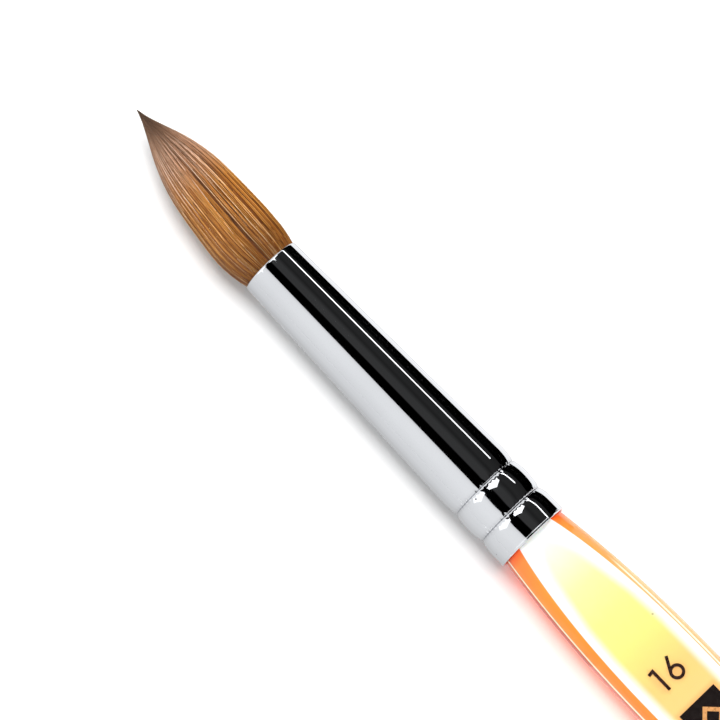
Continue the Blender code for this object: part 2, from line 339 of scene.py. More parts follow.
def plated_finish():
    """Bright nickel plate: faint drawing lines, slight cloudiness, a few pits, and painted shade darkening
    the grooves.
    """
    finish = Finish("plated_metal", Metallic=1.0)
    place = finish.place()
    cloud = finish.noise(place, 120.0, 3.0)
    drawn = finish.noise(finish.stretched(place, (40.0, 2600.0, 2600.0)), 1.0, 2.0)
    pits = finish.add("TexVoronoi", {"Vector": place, "Scale": 420.0}).outputs["Distance"]
    pit = finish.between(pits, 0.035, 0.06, 1.0, 0.0)
    rare = finish.between(finish.noise(place, 160.0, 0.0), 0.56, 0.6)
    pit = finish.math("MULTIPLY", pit, rare)
    # painted shade: the plate is darkened towards grey in the grooves
    groove_shade = finish.math("MULTIPLY", finish.attribute("groove"), 0.25, clamp=True)
    bright = finish.mix(cloud, (0.60, 0.615, 0.64, 1.0), (0.66, 0.675, 0.70, 1.0))
    bright = finish.mix(groove_shade, bright, (0.30, 0.30, 0.32, 1.0))
    colour = finish.mix(pit, bright, (0.12, 0.12, 0.13, 1.0))
    roughness = finish.between(cloud, 0.3, 0.75, 0.035, 0.065)
    roughness = finish.math("ADD", roughness, finish.math("MULTIPLY", pit, 0.3))
    height = finish.math("SUBTRACT", finish.math("MULTIPLY", drawn, 0.15), pit)
    normal = finish.bump(height, 0.12, 0.00002)
    return finish.set(Base_Color=colour, Roughness=roughness, Normal=normal)


# ---------------------------------------------------------------- handle


def handle_radius(along):
    """Radius of the turned handle at a distance behind the ferrule's rim."""
    if along < BELLY_START:
        return BELLY_RADIUS - (BELLY_RADIUS - NECK_RADIUS) * (1 - along / BELLY_START) ** SWELL_POWER
    if along <= BELLY_END:
        return BELLY_RADIUS
    share = (along - BELLY_END) / (BUTT_START - BELLY_END)
    return BELLY_RADIUS - (BELLY_RADIUS - BUTT_RADIUS) * share**TAPER_POWER


def handle_profile():
    """(along, radius) from the front of the tenon, past its step at the rim, to the butt."""
    profile = [(-TENON_LENGTH, 0.001), (-TENON_LENGTH, 3.2), (-TENON_LENGTH + 0.6, 3.8)]
    profile += [(-6.0, 3.8), (-3.4, 3.8), (-2.4, 4.1), (-1.6, 4.2), (-0.8, 4.25), (-0.3, 4.29)]
    profile += [(-0.06, 4.32), (-0.04, 4.325), (-0.02, 4.325), (0.0, NECK_RADIUS), (0.03, 4.333)]
    stops = list(np.arange(0.1, BELLY_END, 0.6)) + list(np.linspace(BELLY_END, BUTT_START, 110))
    profile += [(stop, handle_radius(stop)) for stop in stops]
    for angle in range(5, 90, 5):
        turn = math.radians(angle)
        profile.append((BUTT_START + BUTT_RADIUS * math.sin(turn), BUTT_RADIUS * math.cos(turn)))
    profile.append((RIM_X - BUTT_X, 0.001))
    return profile


FLAT_COLUMNS = 34
SIDE_COLUMNS = 110
EDGE_CROWD = 0.8  # how strongly the flat's columns crowd towards its edges
SIDE_CROWD = 0.75  # how strongly the side's columns crowd towards the same edges


def section_angles(radius):
    """Angles from +Z round the section. The first columns cover the flat, and the rest the round side."""
    edge = math.acos(FLAT_HEIGHT / radius) if radius > FLAT_HEIGHT else 0.0
    edge = max(edge, math.radians(4.0))
    spread = np.linspace(-1.0, 1.0, FLAT_COLUMNS + 1)[:-1]
    spread = (1 - EDGE_CROWD) * spread + EDGE_CROWD * np.sin(spread * math.pi / 2)
    flat = np.arctan(np.tan(edge) * spread)
    share = np.linspace(0.0, 1.0, SIDE_COLUMNS + 1)[:-1]
    share = share - SIDE_CROWD * np.sin(2 * math.pi * share) / (2 * math.pi)
    side = edge + (2 * math.pi - 2 * edge) * share
    return np.concatenate([flat, side])


def make_handle(finish):
    """A turned acrylic rod with one flat ground along its top, its edges just broken."""
    points, alongs, acrosses, turns = [], [], [], []
    profile = handle_profile()
    no_flat = BELLY_RADIUS * 2  # too high to cut the tenon, which stays round
    for along, radius in profile:
        angles = section_angles(radius)
        upward = np.maximum(np.cos(angles), 1e-4)
        height = FLAT_HEIGHT if along > -0.01 else no_flat
        flat_reach = height / upward
        reach = (radius**-EDGE_SHARPNESS + flat_reach**-EDGE_SHARPNESS) ** (-1 / EDGE_SHARPNESS)
        reach = np.where(np.cos(angles) > 1e-3, reach, radius)
        for angle, distance in zip(angles, reach):
            y = distance * math.sin(angle)
            points.append((RIM_X - along, y, AXIS_Z + distance * math.cos(angle)))
            acrosses.append(y)
            turns.append(math.degrees(math.atan2(math.sin(angle), math.cos(angle))))
        alongs += [along] * len(angles)
    columns = FLAT_COLUMNS + SIDE_COLUMNS
    faces = grid_faces(len(profile), columns)
    faces.append(tuple(range(columns))[::-1])
    last = (len(profile) - 1) * columns
    faces.append(tuple(range(last, last + columns)))
    heights = [z - AXIS_Z for (_, _, z) in points]
    floats = {"along": alongs, "across": acrosses, "turn": turns, "height": heights}
    obj = add_piece("handle_rod", points, faces, finish, floats)
    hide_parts("handle")
    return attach(obj, "brush")


PAINT_REACH = 116.0  # how far along the handle its colour stops are spread

# Painted light on the middle of the flat, by distance along the handle: light through the rod paints the
# orange white by the ferrule, then yellow, then pale orange
LIT_FLAT_MIDDLE = (
    (0.0, (255, 255, 250)),
    (3.2, (255, 255, 225)),
    (8.0, (255, 255, 172)),
    (13.0, (255, 254, 148)),
    (18.0, (255, 232, 136)),
    (22.0, (255, 212, 130)),
    (26.0, (255, 214, 136)),
    (40.0, (255, 205, 110)),
    (PAINT_REACH, (255, 176, 84)),
)
# Half the width of that middle, as a share of WIDEST_MIDDLE
WIDEST_MIDDLE = 6.0
MIDDLE_WIDTH = (
    (0.0, 0.0),
    (1.5, 0.12),
    (3.0, 0.26),
    (5.2, 0.37),
    (8.7, 0.47),
    (12.2, 0.57),
    (17.0, 0.62),
    (45.0, 0.62),
    (80.0, 0.4),
)
# painted light: the flat's edges are near white
LIT_FLAT_MARGIN = srgb(255, 255, 252)
FLAT_DIM = (0.80, 0.80, 0.80, 1.0)  # the flat faces the key light, so its paint is a little darker
# painted shade of the print: deeper orange round the digits and before the label
PRINT_SHADE = srgb(255, 176, 110)
SPECK_ALONG = 15.9  # a fleck trapped under the flat
SPECK_ACROSS = -3.3
SPECK_COLOUR = srgb(150, 140, 96)

# Colour of the round side, by distance along the handle; its deeper red-orange at the rim is painted shade
# from the ferrule
SIDE_ALONG = (
    (0.0, (250, 80, 20)),
    (1.4, (244, 132, 56)),
    (6.0, (244, 148, 50)),
    (12.0, (244, 144, 34)),
    (18.0, (246, 134, 14)),
    (PAINT_REACH, (244, 122, 12)),
)
NEAR_HIGHLIGHT_TURN = 73.5  # degrees from the top, towards +Y, of the painted highlight along the near side
FAR_HIGHLIGHT_TURN = -57.5  # and of the two painted lines, a highlight and a dark line, in the painted lit band along the far side
FAR_DARK_LINE_TURN = -53.2
# painted shade deepens the near side's lower half to this orange; the colours after it are painted
# highlights, a painted lit band and a painted dark line
NEAR_SHADE_ORANGE = srgb(214, 66, 26)
STREAK_ORANGE = srgb(255, 176, 90)
NEAR_HIGHLIGHT_COLOUR = srgb(255, 250, 220)
FAR_LIT_BAND_COLOUR = srgb(226, 178, 106)
FAR_HIGHLIGHT_COLOUR = srgb(255, 252, 214)
FAR_DARK_LINE_COLOUR = srgb(176, 150, 104)

# Light that has passed through the rod
GRAZED_TURN = 81.0  # degrees from the top of the side that the light only grazes
GRAZING_TINT = (0.99, 0.89, 0.76, 1.0)
THROUGH_TINT = (0.97, 0.12, 0.03, 1.0)


def stops_along(table):
    """Ramp stops from (distance along the handle, display colour) rows."""
    return [(along / PAINT_REACH, srgb(*colour)) for along, colour in table]


def grey_stops_along(table):
    """Ramp stops from (distance along the handle, plain number) rows."""
    return [(along / PAINT_REACH, (value, value, value, 1.0)) for along, value in table]


def flat_paint(finish, share, along, across):
    """The flat, painted pale by light through the rod and whiter still towards its edges, with painted
    shade leaving orange round the print.
    """
    middle = finish.ramp(share, stops_along(LIT_FLAT_MIDDLE))
    half_width = finish.ramp(share, grey_stops_along(MIDDLE_WIDTH))
    half_width = finish.math("MULTIPLY", half_width, WIDEST_MIDDLE)
    from_middle = finish.math("SUBTRACT", finish.math("ABSOLUTE", across), half_width)
    # painted light whitening the flat towards its edges
    lit_margin = finish.between(from_middle, -0.8, 0.5)
    flat = finish.mix(lit_margin, middle, LIT_FLAT_MARGIN)
    flat = finish.mix(print_shade(finish, along, across), flat, PRINT_SHADE)
    speck_along = finish.math("SUBTRACT", along, SPECK_ALONG)
    speck_across = finish.math("SUBTRACT", across, SPECK_ACROSS)
    speck_along_squared = finish.math("MULTIPLY", speck_along, speck_along)
    speck_across_squared = finish.math("MULTIPLY", speck_across, speck_across)
    speck = finish.math("ADD", speck_along_squared, speck_across_squared)
    flat = finish.mix(finish.between(speck, 0.008, 0.03, 0.6, 0.0), flat, SPECK_COLOUR)
    return finish.mix(1.0, flat, FLAT_DIM, "MULTIPLY")


def print_shade(finish, along, across):
    """How much painted shade of the print deepens the flat to orange round the six's bowl, along the one's
    stem, and before the label.
    """
    bowl_offset_m = 0.00093
    six_along = RIM_X - (SIX_LOW.x + bowl_offset_m) / MM
    six_across = (SIX_LOW.y + SIX_HIGH.y) / 2 / MM
    six_along_squared = finish.math("POWER", finish.math("SUBTRACT", along, six_along), 2.0)
    six_across_squared = finish.math("POWER", finish.math("SUBTRACT", across, six_across), 2.0)
    from_six = finish.math("SQRT", finish.math("ADD", six_along_squared, six_across_squared))
    halo = finish.between(from_six, 0.35, 1.7, 0.6, 0.0)

    stem_half = 1.2
    one_across = (ONE_LOW.y + ONE_HIGH.y) / 2 / MM
    one_along = RIM_X - (ONE_LOW.x + ONE_HIGH.x) / 2 / MM
    past_one = finish.math("SUBTRACT", finish.off_by(along, one_along), stem_half)
    past_one = finish.math("MAXIMUM", past_one, 0.0)
    from_one = finish.math("ADD", finish.off_by(across, one_across), past_one)
    halo = finish.math("MAXIMUM", halo, finish.between(from_one, 0.2, 1.1, 0.4, 0.0))

    before_label = finish.math("SUBTRACT", LABEL_FRONT, along)
    label_shade = finish.between(before_label, 0.0, 0.8, 0.55, 0.0)
    off_label = finish.math("SUBTRACT", finish.math("ABSOLUTE", across), LABEL_HALF)
    label_shade = finish.math("MULTIPLY", label_shade, finish.between(off_label, 0.0, 0.9, 1.0, 0.0))
    return finish.math("MAXIMUM", halo, label_shade)


def side_paint(finish, share, along, turn):
    """The saturated round side, with painted highlights that run along it, painted shade on its near lower
    half, and a painted lit band with a dark line along the far side.
    """
    side = finish.ramp(share, stops_along(SIDE_ALONG))
    side = finish.mix(finish.between(turn, 75.0, 78.0), side, NEAR_SHADE_ORANGE)
    streaks = finish.noise(finish.stretched(finish.place(), (18.0, 700.0, 700.0)), 1.0, 3.0)
    side = finish.mix(finish.between(streaks, 0.35, 0.75, 0.0, 0.2), side, STREAK_ORANGE)
    near_highlight = finish.between(finish.off_by(turn, NEAR_HIGHLIGHT_TURN), 1.2, 3.0, 0.95, 0.0)
    side = finish.mix(near_highlight, side, NEAR_HIGHLIGHT_COLOUR)

    # where the painted lit band lies, on the far side below the flat
    below_flat = finish.between(turn, -48.0, -46.0, 1.0, 0.0)
    far = finish.math("MULTIPLY", finish.between(along, 7.0, 11.0), below_flat)
    far = finish.math("MULTIPLY", far, finish.between(turn, -104.0, -84.0))
    side = finish.mix(finish.math("MULTIPLY", far, 0.8), side, FAR_LIT_BAND_COLOUR)
    far_highlight = finish.between(finish.off_by(turn, FAR_HIGHLIGHT_TURN), 1.4, 2.8, 0.95, 0.0)
    side = finish.mix(finish.math("MULTIPLY", far_highlight, far), side, FAR_HIGHLIGHT_COLOUR)
    far_dark_line = finish.between(finish.off_by(turn, FAR_DARK_LINE_TURN), 0.5, 1.2, 0.6, 0.0)
    return finish.mix(finish.math("MULTIPLY", far_dark_line, far), side, FAR_DARK_LINE_COLOUR)


def tint_shadow(finish, turn):
    """Lets light through to the table: orange through the rod, hardly tinted where it only grazes it."""
    grazed = finish.off_by(turn, GRAZED_TURN)
    tint = finish.mix(finish.between(grazed, 28.0, 40.0), GRAZING_TINT, THROUGH_TINT)
    path = finish.add("LightPath")
    clear = finish.add("BsdfTransparent", {"Color": tint})
    mixed = finish.add("MixShader", {0: path.outputs["Is Shadow Ray"]})
    finish.put(finish.surface.outputs[0], mixed.inputs[1])
    finish.put(clear.outputs[0], mixed.inputs[2])
    finish.put(mixed.outputs[0], finish.tree.nodes["Material Output"].inputs["Surface"])


def acrylic_finish():
    """Neon orange acrylic: saturated round sides with painted highlights and shade, and a flat painted pale
    with light.
    """
    finish = Finish("neon_acrylic", IOR=1.49, Specular_IOR_Level=0.3)
    place = finish.place()
    along = finish.attribute("along")
    turn = finish.attribute("turn")
    share = finish.math("DIVIDE", along, PAINT_REACH, clamp=True)
    flat = flat_paint(finish, share, along, finish.attribute("across"))
    side = side_paint(finish, share, along, turn)
    height = finish.attribute("height")
    on_side = finish.between(height, FLAT_HEIGHT - 0.10, FLAT_HEIGHT - 0.04, 1.0, 0.0)
    dust = finish.noise(place, 900.0, 2.0)
    wave = finish.noise(finish.stretched(place, (90.0, 300.0, 300.0)), 1.0, 1.0)
    finish.set(
        Base_Color=finish.mix(on_side, flat, side),
        Roughness=finish.between(dust, 0.3, 0.8, 0.03, 0.09),
        Normal=finish.bump(wave, 0.05, 0.00005),
        Subsurface_Weight=0.25,
        Subsurface_Radius=(1.0, 0.5, 0.25),
        Subsurface_Scale=0.0012,
    )
    tint_shadow(finish, turn)
    return finish


# ---------------------------------------------------------------- hair


def tuft_curve():
    """The tuft's outline as a dense smooth (ahead, radius) table."""
    knots = [Vector(point) for point in TUFT_OUTLINE]
    knots = [2 * knots[0] - knots[1], *knots, 2 * knots[-1] - knots[-2]]
    table = []
    for before, start, end, after in zip(knots, knots[1:], knots[2:], knots[3:]):
        for step in range(12):
            t = step / 12
            table.append(0.5 * (2 * start + (end - before) * t
                                + (2 * before - 5 * start + 4 * end - after) * t**2
                                + (3 * start - before - 3 * end + after) * t**3))
    table.append(knots[-2])
    return np.array([tuple(point) for point in table])


TUFT_TABLE = tuft_curve()
HAIR_OUT = TIP_X - MOUTH_X


def tuft_radius(ahead):
    return np.interp(ahead, TUFT_TABLE[:, 0], np.maximum(TUFT_TABLE[:, 1], 0.02))


def tuft_lean(ahead):
    share = np.clip((ahead - LEAN_START) / (HAIR_OUT - LEAN_START), 0.0, 1.0)
    return -TIP_LEAN * share**LEAN_POWER


def wander(values, seed, waves):
    """Smooth noise between about -1 and 1 over an angle, from a few seeded sine waves."""
    chance = np.random.default_rng(seed)
    total = np.zeros_like(values)
    for wave in waves:
        total += chance.uniform(0.5, 1.0) * np.sin(wave * values + chance.uniform(0, 2 * math.pi))
    return total / len(waves)


HAIR_STEPS = 22
HAIR_SIDES = 3
HAIR_START = -2.2
CLUMPS = 84
TONE_WAVES = (31, 67, 109, 163, 211, 263)
REACH_WAVES = (7, 11, 17)
STRAY_CHANCE = 0.015
DARK_CHANCE = 0.10
# share of hairs made much lighter: partly a lighter tone, partly painted highlights along them
LIGHT_AND_GLINT_CHANCE = 0.07

# Layers of hair: how many, their share of the tuft's radius, shortest end as a share, and width
OUTER_LAYERS = ((760, 0.985, 0.62, 0.044), (420, 0.962, 0.80, 0.05))
INNER_LAYERS = ((420, 0.93, 0.90, 0.06), (60, 0.5, 0.97, 0.06))


def hair_path(chance, angle, layer_share, end, clump_gap):
    """One hair's places from root to end: share of its length, distance ahead, angle and reach."""
    share = layer_share + chance.normal(0, 0.006) + 0.010 * wander(np.array([angle]), 3, REACH_WAVES)[0]
    steps = np.linspace(0.0, 1.0, HAIR_STEPS + 1)
    ahead = HAIR_START + (end - HAIR_START) * steps
    progress = np.clip(ahead / HAIR_OUT, 0, 1)
    pull = smoothstep(progress, 0.3, 0.95) * chance.uniform(0.1, 0.4)
    sway = chance.normal(0, 0.018)
    swing = sway * np.sin(progress * chance.uniform(2, 7) + chance.uniform(0, 6.3))
    drift = chance.normal(0, 0.02) * progress
    if chance.random() < STRAY_CHANCE:
        drift = chance.uniform(-0.3, 0.3) * progress
        share += 0.012
    angles = angle + clump_gap * pull + swing + drift
    return steps, ahead, progress, angles, tuft_radius(ahead) * share


def hair_width(width, steps, ahead):
    """Half-width along a hair: finer at the root, tapered to its end, and finer where the tuft closes."""
    root = 0.55 + 0.45 * smoothstep(steps, 0.0, 0.3)
    taper = 1 - 0.85 * smoothstep(steps, 0.6, 1.0)
    crowd = np.clip(tuft_radius(ahead) / 3.0, 0.35, 1.0)
    return width * root * taper * crowd


def hair_tone(chance, angle):
    """How light one hair is, about 0.5, with some that are clearly darker, and some lighter, partly as
    painted highlights.
    """
    tone = 0.5 + 0.34 * wander(np.array([angle]), 5, TONE_WAVES)[0] + chance.normal(0, 0.25)
    rarity = chance.random()
    if rarity < DARK_CHANCE:
        tone -= 0.35
    elif rarity > 1 - LIGHT_AND_GLINT_CHANCE:
        tone += 0.45
    return tone


def hair_points(ahead, angles, reach, thick):
    """Rings of points round one hair."""
    points = []
    lean = tuft_lean(ahead)
    for ring in range(HAIR_STEPS + 1):
        out = np.array([0.0, -math.sin(angles[ring]), math.cos(angles[ring])])
        aside = np.array([0.0, math.cos(angles[ring]), math.sin(angles[ring])])
        centre = np.array([MOUTH_X + ahead[ring], lean[ring], AXIS_Z]) + out * reach[ring]
        for side in range(HAIR_SIDES):
            turn = 2 * math.pi * side / HAIR_SIDES
            points.append(centre + thick[ring] * (math.cos(turn) * out + math.sin(turn) * aside))
    return points


def hair_faces(first):
    """Faces of one closed hair whose points start at that index."""
    faces = []
    for ring in range(HAIR_STEPS):
        low = first + ring * HAIR_SIDES
        high = low + HAIR_SIDES
        for side in range(HAIR_SIDES):
            after = (side + 1) % HAIR_SIDES
            faces.append((low + side, low + after, high + after, high + side))
    end = first + HAIR_STEPS * HAIR_SIDES
    faces.append(tuple(range(end, end + HAIR_SIDES)))
    faces.append(tuple(range(first, first + HAIR_SIDES))[::-1])
    return faces


def hair_bundle(name, layers, seed, finish):
    """Tapered hairs laid along the tuft in layers, gathered a little into clumps."""
    chance = np.random.default_rng(seed)
    points, faces, along_values, tone_values = [], [], [], []
    clump_angles = np.sort(chance.uniform(0, 2 * math.pi, CLUMPS))
    for count, layer_share, shortest, width in layers:
        for index in range(count):
            angle = 2 * math.pi * (index + chance.uniform(0.0, 1.0)) / count
            end = HAIR_OUT * (1 - (1 - shortest) * chance.random() ** 1.6)
            gaps = (clump_angles - angle + math.pi) % (2 * math.pi) - math.pi
            clump_gap = gaps[np.argmin(np.abs(gaps))]
            steps, ahead, progress, angles, reach = hair_path(chance, angle, layer_share, end, clump_gap)
            tone = hair_tone(chance, angle)
            faces += hair_faces(len(points))
            points += hair_points(ahead, angles, reach, hair_width(width, steps, ahead))
            along_values += np.repeat(progress, HAIR_SIDES).tolist()
            tone_values += [tone] * ((HAIR_STEPS + 1) * HAIR_SIDES)
    floats = {"hair_along": along_values, "tone": tone_values}
    return add_piece(name, points, faces, finish, floats)


CORE_SIDES = 96
CORE_RINGS = 60
CORE_SHARE = 0.90  # of the tuft's radius
# painted shade: the core is darker than the hairs over it
CORE_SHADED_TONE = 0.25
RIDGE_WAVES = (23, 31, 47)


def hair_core(finish):
    """The dense middle of the tuft, under the hairs that can be told apart, painted darker as shade."""
    points, along_values = [], []
    for ahead in np.linspace(HAIR_START, HAIR_OUT - 0.5, CORE_RINGS):
        reach = float(tuft_radius(ahead)) * CORE_SHARE
        for side in range(CORE_SIDES):
            angle = 2 * math.pi * side / CORE_SIDES
            ridge = 1 + 0.012 * wander(np.array([angle]), 9, RIDGE_WAVES)[0]
            y = float(tuft_lean(ahead)) - reach * ridge * math.sin(angle)
            points.append((MOUTH_X + ahead, y, AXIS_Z + reach * ridge * math.cos(angle)))
        along_values += [max(0.0, ahead / HAIR_OUT)] * CORE_SIDES
    faces = grid_faces(CORE_RINGS, CORE_SIDES)
    faces.append(tuple(range(CORE_SIDES))[::-1])
    faces.append(tuple(range((CORE_RINGS - 1) * CORE_SIDES, CORE_RINGS * CORE_SIDES)))
    floats = {"hair_along": along_values, "tone": [CORE_SHADED_TONE] * len(points)}
    return add_piece("tuft_core", points, faces, finish, floats)


def hair_finish(name, fine_lines=0.0):
    """Sable-coloured hair: golden brown at the ferrule, greyer towards the tips, dark at the point."""
    finish = Finish(name, IOR=1.5, Specular_IOR_Level=0.6)
    along = finish.attribute("hair_along")
    tone = finish.attribute("tone")
    place = finish.place()
    grain = finish.noise(finish.stretched(place, (40.0, 6500.0, 6500.0)), 1.0, 2.0)
    grain_shade = finish.math("MULTIPLY", finish.math("SUBTRACT", grain, 0.5), 0.6 + fine_lines)
    shade = finish.math("ADD", tone, grain_shade)
    shade = finish.math("ADD", shade, finish.between(along, 0.25, 0.7, 0.0, 0.04))
    shade = finish.math("MULTIPLY", shade, 0.82, clamp=True)
    golden = finish.ramp(shade, [
        (0.0, srgb(78, 36, 2)),
        (0.28, srgb(144, 80, 10)),
        (0.5, srgb(186, 118, 30)),
        (0.72, srgb(218, 158, 74)),
        (1.0, srgb(252, 226, 184)),
    ])
    greyed = finish.ramp(shade, [
        (0.0, srgb(94, 64, 44)),
        (0.3, srgb(146, 104, 74)),
        (0.5, srgb(186, 140, 108)),
        (0.72, srgb(214, 172, 142)),
        (1.0, srgb(250, 226, 206)),
    ])
    dark = finish.ramp(shade, [
        (0.0, srgb(52, 34, 20)),
        (0.5, srgb(98, 68, 46)),
        (1.0, srgb(172, 136, 110)),
    ])
    ragged = finish.math("ADD", along, finish.math("MULTIPLY", finish.math("SUBTRACT", tone, 0.5), 0.12))
    colour = finish.mix(finish.between(ragged, 0.42, 0.74), golden, greyed)
    colour = finish.mix(finish.between(ragged, 0.74, 0.95), colour, dark)
    root_shade = finish.between(along, 0.0, 0.3, 0.5, 0.0)
    colour = finish.mix(root_shade, colour, srgb(96, 48, 12))
    roughness = finish.between(grain, 0.2, 0.8, 0.34, 0.55)
    scales = finish.noise(finish.stretched(place, (2600.0, 900.0, 900.0)), 1.0, 1.0)
    return finish.set(Base_Color=colour, Roughness=roughness, Normal=finish.bump(scales, 0.15, 0.00001))


def make_tuft():
    """Two bundles of hair over a core, in place of the CAD tuft."""
    surface_hair = hair_finish("tuft_hair")
    outer = hair_bundle("tuft_outer_hair", OUTER_LAYERS, SEED, surface_hair)
    inner = hair_bundle("tuft_inner_hair", INNER_LAYERS, SEED + 1, surface_hair)
    core = hair_core(hair_finish("tuft_core_hair", 0.5))
    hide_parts("hair_tuft")
    for piece in (outer, inner, core):
        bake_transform(piece)


# ---------------------------------------------------------------- print and inner pieces


def ink_finish():
    finish = Finish("ink", IOR=1.5)
    place = finish.place()
    patch = finish.noise(place, 2500.0, 3.0)
    colour = finish.mix(patch, srgb(30, 12, 8), srgb(52, 24, 16))
    roughness = finish.between(patch, 0.3, 0.7, 0.22, 0.4)
    return finish.set(Base_Color=colour, Roughness=roughness, Normal=finish.bump(patch, 0.2, 0.00001))


def panel_finish():
    finish = Finish("label_panel", IOR=1.5)
    place = finish.place()
    patch = finish.noise(place, 1800.0, 3.0)
    colour = finish.mix(patch, srgb(14, 10, 10), srgb(32, 24, 22))
    roughness = finish.between(patch, 0.3, 0.7, 0.14, 0.26)
    return finish.set(Base_Color=colour, Roughness=roughness, Normal=finish.bump(patch, 0.12, 0.00001))


def foil_finish():
    """Hot-stamped copper foil with a slight orange-peel."""
    finish = Finish("copper_foil", Metallic=0.35)
    place = finish.place()
    patch = finish.noise(place, 3000.0, 3.0)
    colour = finish.mix(patch, srgb(196, 128, 72), srgb(236, 178, 112))
    roughness = finish.between(patch, 0.3, 0.7, 0.25, 0.42)
    return finish.set(Base_Color=colour, Roughness=roughness, Normal=finish.bump(patch, 0.3, 0.00001))


def thread_finish():
    finish = Finish("binding_thread")
    place = finish.place()
    twist = finish.noise(finish.stretched(place, (3000.0, 6000.0, 6000.0)), 1.0, 2.0)
    colour = finish.mix(twist, srgb(196, 186, 160), srgb(236, 228, 206))
    return finish.set(Base_Color=colour, Roughness=0.85, Normal=finish.bump(twist, 0.6, 0.00003))


def epoxy_finish():
    finish = Finish("epoxy", IOR=1.55)
    place = finish.place()
    cloud = finish.noise(place, 700.0, 3.0)
    colour = finish.mix(cloud, srgb(196, 150, 84), srgb(226, 186, 120))
    roughness = finish.between(cloud, 0.3, 0.8, 0.2, 0.5)
    return finish.set(Base_Color=colour, Roughness=roughness, Normal=finish.bump(cloud, 0.4, 0.00004))


def roots_finish():
    finish = Finish("root_hair")
    place = finish.place()
    grain = finish.noise(finish.stretched(place, (60.0, 2400.0, 2400.0)), 1.0, 3.0)
    colour = finish.mix(grain, srgb(84, 42, 12), srgb(176, 112, 56))
    return finish.set(Base_Color=colour, Roughness=0.5, Normal=finish.bump(grain, 0.6, 0.00005))


def dress(node, finish):
    """Gives a CAD node that stays visible its detailed material."""
    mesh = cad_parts[node].data
    mesh.materials.clear()
    mesh.materials.append(finish.material)


# ---------------------------------------------------------------- studio


CAMERA_TIP_TILT = 6.5  # degrees the view leans towards the butt, and towards +Y
CAMERA_SIDE_TILT = 7.0
CAMERA_ROLL = 134.03
CAMERA_DISTANCE_M = 0.465
LOOK_BEHIND = 15.28  # the view's middle, behind the ferrule's mouth
LOOK_ACROSS = 0.15
LENS_MM = 200
SENSOR_MM = 36


def view_axes():
    """The picture's right and up, and the direction towards the camera."""
    towards = Vector((-math.sin(math.radians(CAMERA_TIP_TILT)), 0, 0))
    towards.y = math.sin(math.radians(CAMERA_SIDE_TILT))
    towards.z = math.sqrt(1 - towards.x**2 - towards.y**2)
    brush = Vector((1, 0, 0))
    brush_seen = (brush - towards * brush.dot(towards)).normalized()
    beside = towards.cross(brush_seen)
    roll = math.radians(CAMERA_ROLL)
    right = brush_seen * math.cos(roll) - beside * math.sin(roll)
    up = brush_seen * math.sin(roll) + beside * math.cos(roll)
    return right, up, towards


RIGHT, UP, TOWARDS = view_axes()


def make_camera():
    target = Vector(((MOUTH_X - LOOK_BEHIND) * MM, LOOK_ACROSS * MM, AXIS_Z * MM))
    matrix = Matrix((RIGHT, UP, TOWARDS)).transposed().to_4x4()
    matrix.translation = target + TOWARDS * CAMERA_DISTANCE_M
    camera = bpy.data.cameras.new("camera")
    camera.lens = LENS_MM
    camera.sensor_width = SENSOR_MM
    camera.clip_start = 0.01
    obj = bpy.data.objects.new("camera", camera)
    obj.matrix_world = matrix
    bpy.context.scene.collection.objects.link(obj)
    bpy.context.scene.camera = obj


def overhead(side_degrees):
    """A direction square to the brush, tilted from overhead towards -Y by that much past the view axis."""
    across = Vector((0, -1, 0))
    across = (across - TOWARDS * across.dot(TOWARDS)).normalized()
    side = math.radians(side_degrees)
    return TOWARDS * math.cos(side) + across * math.sin(side)


STUDIO_MIDDLE = Vector(((MOUTH_X - 22) * MM, 0, AXIS_Z * MM))
CARD_LIFT = 0.5  # of the low cards above the table


def glow_material(name):
    """Light from a card, as strong at each place as its glow attribute says."""
    material = bpy.data.materials.new(name)
    material.use_nodes = True
    nodes = material.node_tree.nodes
    nodes.clear()
    strength = nodes.new("ShaderNodeAttribute")
    strength.attribute_name = "glow"
    glow = nodes.new("ShaderNodeEmission")
    output = nodes.new("ShaderNodeOutputMaterial")
    material.node_tree.links.new(strength.outputs["Fac"], glow.inputs["Strength"])
    material.node_tree.links.new(glow.outputs[0], output.inputs["Surface"])
    return material


def make_card(name, columns):
    """A card seen only in reflections, from columns of (near point, far point, strength)."""
    points, faces, glows = [], [], []
    for near, far, strength in columns:
        points += [near, far]
        glows += [strength, strength]
    for column in range(len(columns) - 1):
        first = column * 2
        faces.append((first, first + 1, first + 3, first + 2))
    mesh = bpy.data.meshes.new(name)
    mesh.from_pydata(points, [], faces)
    glow = mesh.attributes.new("glow", "FLOAT", "POINT")
    glow.data.foreach_set("value", glows)
    mesh.materials.append(glow_material(name))
    obj = bpy.data.objects.new(name, mesh)
    bpy.context.scene.collection.objects.link(obj)
    obj.visible_camera = False
    obj.visible_shadow = False
    obj.visible_diffuse = False
    obj.visible_transmission = False
    obj.visible_volume_scatter = False
    return obj


def arched_card(name, glow_by_degrees, distance_m, x_from, x_to):
    """A card curved round the brush between two places along it, from (degrees, strength) rows."""
    columns = []
    for degrees, strength in glow_by_degrees:
        middle = STUDIO_MIDDLE + overhead(degrees) * distance_m
        columns.append(((x_from * MM, middle.y, middle.z), (x_to * MM, middle.y, middle.z), strength))
    return make_card(name, columns)


def table_card(name, side, glow_by_reach, x_from, x_to):
    """A card lying just over the table on one side, from (distance from the axis, strength) rows."""
    columns = []
    for reach, strength in glow_by_reach:
        y = side * reach * MM
        columns.append(((x_from * MM, y, CARD_LIFT * MM), (x_to * MM, y, CARD_LIFT * MM), strength))
    return make_card(name, columns)


def end_card(name, x, half_width, top, strength):
    """An upright card across the end of the brush."""
    columns = []
    for y in (-half_width, half_width):
        columns.append(((x * MM, y * MM, CARD_LIFT * MM), (x * MM, y * MM, top * MM), strength))
    return make_card(name, columns)


